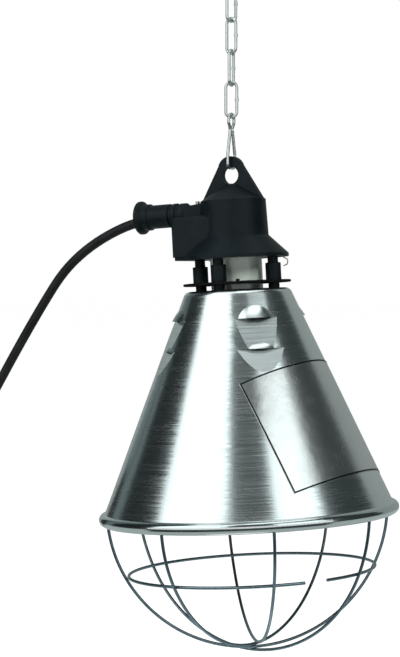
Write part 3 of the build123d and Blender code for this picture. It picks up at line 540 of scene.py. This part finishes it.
# Moulded and pressed edges are slightly rounded
ROUNDED = {
    "housing": 0.9, "base_plate": 0.6, "cable_sleeve": 0.5, "posts": 0.45, "spacer_disc": 0.3,
    "holder_body": 0.6, "plug_body": 1.2, "plug_boot": 0.5,
}
STRAP_ROUNDED = 0.35
for piece, width in [(nodes[name], width) for name, width in ROUNDED.items()] + [(strap, STRAP_ROUNDED)]:
    weld = piece.modifiers.new("joined_faces", "WELD")
    weld.merge_threshold = 0.002 * MM
    bevel = piece.modifiers.new("rounded_edges", "BEVEL")
    bevel.width = width * MM
    bevel.segments = 3
    bevel.limit_method = "ANGLE"
    bevel.angle_limit = radians(35)
    bevel.harden_normals = False
    piece.modifiers.new("even_shading", "WEIGHTED_NORMAL").keep_sharp = False

# Studio: a white room, with grey and black flags round the lamp that its metal mirrors
WHITE = (1.0, 1.0, 1.0, 1.0)
ROOM_LIGHT = 0.3  # what matt surfaces get from the room


def shown_rays(tree):
    """One where the camera, a mirror or glass looks, none for the light on matt surfaces."""
    rays = add(tree, "ShaderNodeLightPath").outputs
    direct = add(tree, "ShaderNodeMath", {
        0: rays["Is Camera Ray"], 1: rays["Is Glossy Ray"],
    }, operation="MAXIMUM")
    shown = add(tree, "ShaderNodeMath", {
        0: direct.outputs["Value"], 1: rays["Is Transmission Ray"],
    }, operation="MAXIMUM")
    return shown.outputs["Value"]


world = bpy.data.worlds.new("studio")
scene.world = world
world.use_nodes = True
studio = world.node_tree
studio.nodes.clear()
room = add(studio, "ShaderNodeBackground", {"Color": WHITE, "Strength": ROOM_LIGHT})
white = add(studio, "ShaderNodeBackground", {"Color": WHITE, "Strength": 1.0})
seen = add(studio, "ShaderNodeMixShader", {
    "Fac": shown_rays(studio), 1: room.outputs["Background"], 2: white.outputs["Background"],
})
add(studio, "ShaderNodeOutputWorld", {"Surface": seen.outputs["Shader"]})

# Floor well below the hanging lamp: white to the eye, darker only where the lamp shades it, clear from below
FLOOR_Z = -0.75
FLOOR_HALF = 30.0
FLOOR_GLOW = 0.75
floor_mesh = bpy.data.meshes.new("floor")
floor_corners = [(x * FLOOR_HALF, y * FLOOR_HALF, FLOOR_Z) for x, y in ((-1, -1), (1, -1), (1, 1), (-1, 1))]
floor_mesh.from_pydata(floor_corners, [], [(0, 1, 2, 3)])
floor = bpy.data.objects.new("floor", floor_mesh)
scene.collection.objects.link(floor)
floor_material, tree, output = new_material("white_floor")
glow_level = add(tree, "ShaderNodeMath", {0: shown_rays(tree), 1: FLOOR_GLOW}, operation="MULTIPLY")
lit = add(tree, "ShaderNodeBsdfDiffuse", {"Color": colour("#e9e9e9")})
glow = add(tree, "ShaderNodeEmission", {"Color": WHITE, "Strength": glow_level.outputs["Value"]})
floor_shown = add(tree, "ShaderNodeAddShader", {0: lit.outputs["BSDF"], 1: glow.outputs["Emission"]})
clear = add(tree, "ShaderNodeBsdfTransparent")
under = add(tree, "ShaderNodeNewGeometry")
one_sided = add(tree, "ShaderNodeMixShader", {
    "Fac": under.outputs["Backfacing"], 1: floor_shown.outputs["Shader"], 2: clear.outputs["BSDF"],
})
tree.links.new(one_sided.outputs["Shader"], output.inputs["Surface"])
floor_mesh.materials.append(floor_material)

FLAG_DISTANCE = 1.1
FLAG_DEPTH = 0.4  # low flags lie over the floor
FLAG_STEP = 6  # degrees
DARK_TINT = (0.78, 1.0, 1.0, 1.0)
GREY_TINT = (0.88, 1.0, 0.98, 1.0)
BOX_TINT = (0.9, 1.0, 1.0, 1.0)  # cool lamps, burnt out to white but for the fading edges of their images
AIM = Vector((0, 0, -0.34))


def direction(azimuth, elevation):
    """Direction from the lamp, in degrees round from the camera to its right and up from the level."""
    angle, height = CAMERA_TURN + radians(azimuth), radians(elevation)
    return Vector((sin(angle) * cos(height), -cos(angle) * cos(height), sin(height)))


def flag(name, azimuths, elevations, brightness, tint):
    """A curved card that only the metal and the gloss mirror."""
    columns = max(2, round((azimuths[1] - azimuths[0]) / FLAG_STEP))
    rows = max(2, round((elevations[1] - elevations[0]) / FLAG_STEP))
    corners, faces = [], []
    for row in range(rows + 1):
        for column in range(columns + 1):
            azimuth = azimuths[0] + (azimuths[1] - azimuths[0]) * column / columns
            elevation = elevations[0] + (elevations[1] - elevations[0]) * row / rows
            height = sin(radians(elevation))
            reach = FLAG_DISTANCE if height * FLAG_DISTANCE > -FLAG_DEPTH else -FLAG_DEPTH / height
            corners.append(AIM + direction(azimuth, elevation) * reach)
    for row in range(rows):
        for column in range(columns):
            first = row * (columns + 1) + column
            faces.append((first, first + 1, first + columns + 2, first + columns + 1))
    card_mesh = bpy.data.meshes.new(name)
    card_mesh.from_pydata(corners, [], faces)
    material, tree, output = new_material(name)
    face = add(tree, "ShaderNodeEmission", {"Color": tint, "Strength": brightness})
    tree.links.new(face.outputs["Emission"], output.inputs["Surface"])
    card_mesh.materials.append(material)
    card = bpy.data.objects.new(name, card_mesh)
    scene.collection.objects.link(card)
    card.visible_camera = card.visible_diffuse = card.visible_shadow = card.visible_transmission = False


# The flags round the lamp: name, azimuths, elevations, brightness and tint
FLAGS = (
    ("left_grey_flag", (-180, -150), (-12, 62), 0.36, GREY_TINT),
    ("left_dim_flag", (-150, -124), (-12, 62), 0.18, DARK_TINT),
    ("left_black_flag", (-124, -81), (-12, 62), 0.02, DARK_TINT),
    ("left_softbox_face", (-81, -21), (18, 64), 1.6, BOX_TINT),
    ("front_black_flag", (-21, 19), (20, 59), 0.055, DARK_TINT),
    ("right_softbox_face", (19, 62), (18, 44), 1.6, BOX_TINT),
    ("right_high_flag", (19, 62), (44, 61), 0.25, GREY_TINT),
    ("high_softbox_face", (-20, 100), (63, 84), 1.7, BOX_TINT),
    ("right_black_flag", (62, 114), (-12, 62), 0.04, DARK_TINT),
    ("right_grey_flag", (114, 180), (-12, 62), 0.32, GREY_TINT),
    ("overhead_flag", (-180, 180), (84, 89), 0.15, DARK_TINT),
    ("overhead_side_flag", (100, 340), (74, 84), 0.15, DARK_TINT),
    ("low_black_flag", (-81, 62), (-40, -4), 0.05, DARK_TINT),
    ("floor_side_flag", (62, 279), (-40, -12), 0.5, GREY_TINT),
    ("floor_grey_flag", (-180, 180), (-80, -40), 0.5, GREY_TINT),
)
for card in FLAGS:
    flag(*card)


def softbox(name, azimuth, elevation, distance, size, power):
    """A soft lamp that looks at the object from a direction given round from the camera."""
    data = bpy.data.lights.new(name, "AREA")
    data.shape = "RECTANGLE"
    data.size, data.size_y = size
    data.energy = power
    lamp = bpy.data.objects.new(name, data)
    scene.collection.objects.link(lamp)
    away = direction(azimuth, elevation)
    lamp.location = AIM + away * distance
    lamp.rotation_euler = (-away).to_track_quat("-Z", "Y").to_euler()
    lamp.visible_glossy = False


softbox("left_softbox", -50, 33, 2.2, (1.4, 0.6), 46)
softbox("right_softbox", 45, 33, 2.2, (0.8, 0.6), 24)

bpy.context.view_layer.update()
